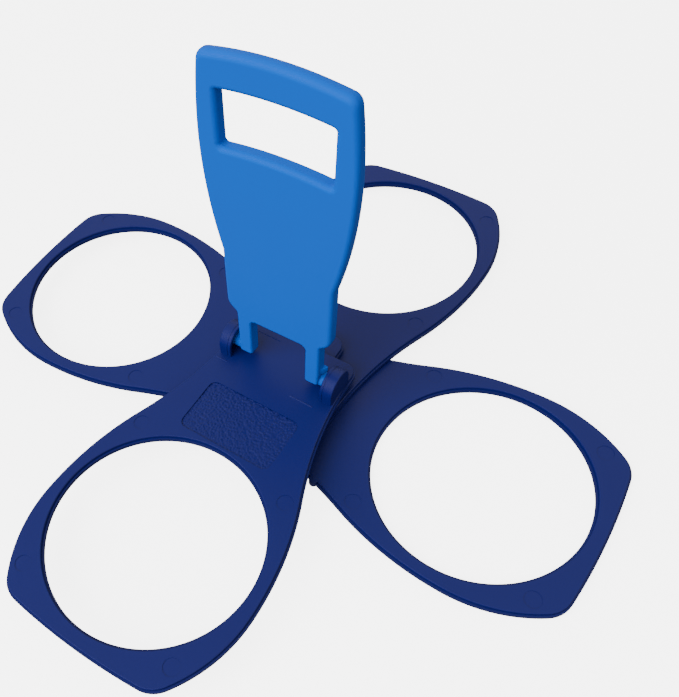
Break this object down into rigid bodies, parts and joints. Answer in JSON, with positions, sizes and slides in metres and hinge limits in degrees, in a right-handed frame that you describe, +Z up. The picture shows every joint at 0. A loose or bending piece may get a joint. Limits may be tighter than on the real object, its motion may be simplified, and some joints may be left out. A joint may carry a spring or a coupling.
{
  "type": "folding drink carrier",
  "caption": "Folding drink carrier: ring plates fan out from one pivot to hold cups by their rims, under an upright grip handle hinged on the top plate.",
  "frame": {"origin": "on the pivot axis, at the underside of the bottom plate", "axes": "+Z up along the pivot; the top plate's ring lies towards -Y and the bottom plate's towards +X; the handle's hinge is along X"},
  "size_m": [0.26, 0.26, 0.1414],
  "materials": {
    "navy_plastic": "fine satin moulded surface",
    "blue_plastic": "fine satin moulded surface",
    "zinc_steel": "bright zinc plated"
  },
  "bodies": {
    "top": {"top_plate": "navy_plastic", "pivot_cap": "navy_plastic", "pivot_screw": "zinc_steel"},
    "second": {"second_plate": "navy_plastic"},
    "third": {"third_plate": "navy_plastic"},
    "bottom": {"bottom_plate": "navy_plastic"},
    "handle": {"carry_handle": "blue_plastic"}
  },
  "joints": [
    {"name": "second_swing", "type": "hinge", "parent": "top", "child": "second", "pos_m": [0, 0, 0.0086], "axis": [0, 0, 1], "range_deg": [0, 90]},
    {"name": "third_swing", "type": "hinge", "parent": "second", "child": "third", "pos_m": [0, 0, 0.0051], "axis": [0, 0, 1], "range_deg": [0, 90]},
    {"name": "bottom_swing", "type": "hinge", "parent": "third", "child": "bottom", "pos_m": [0, 0, 0.0016], "axis": [0, 0, 1], "range_deg": [0, 90]},
    {"name": "handle_fold", "type": "hinge", "parent": "top", "child": "handle", "pos_m": [0, 0, 0.01815], "axis": [1, 0, 0], "range_deg": [0, 92.8]}
  ]
}
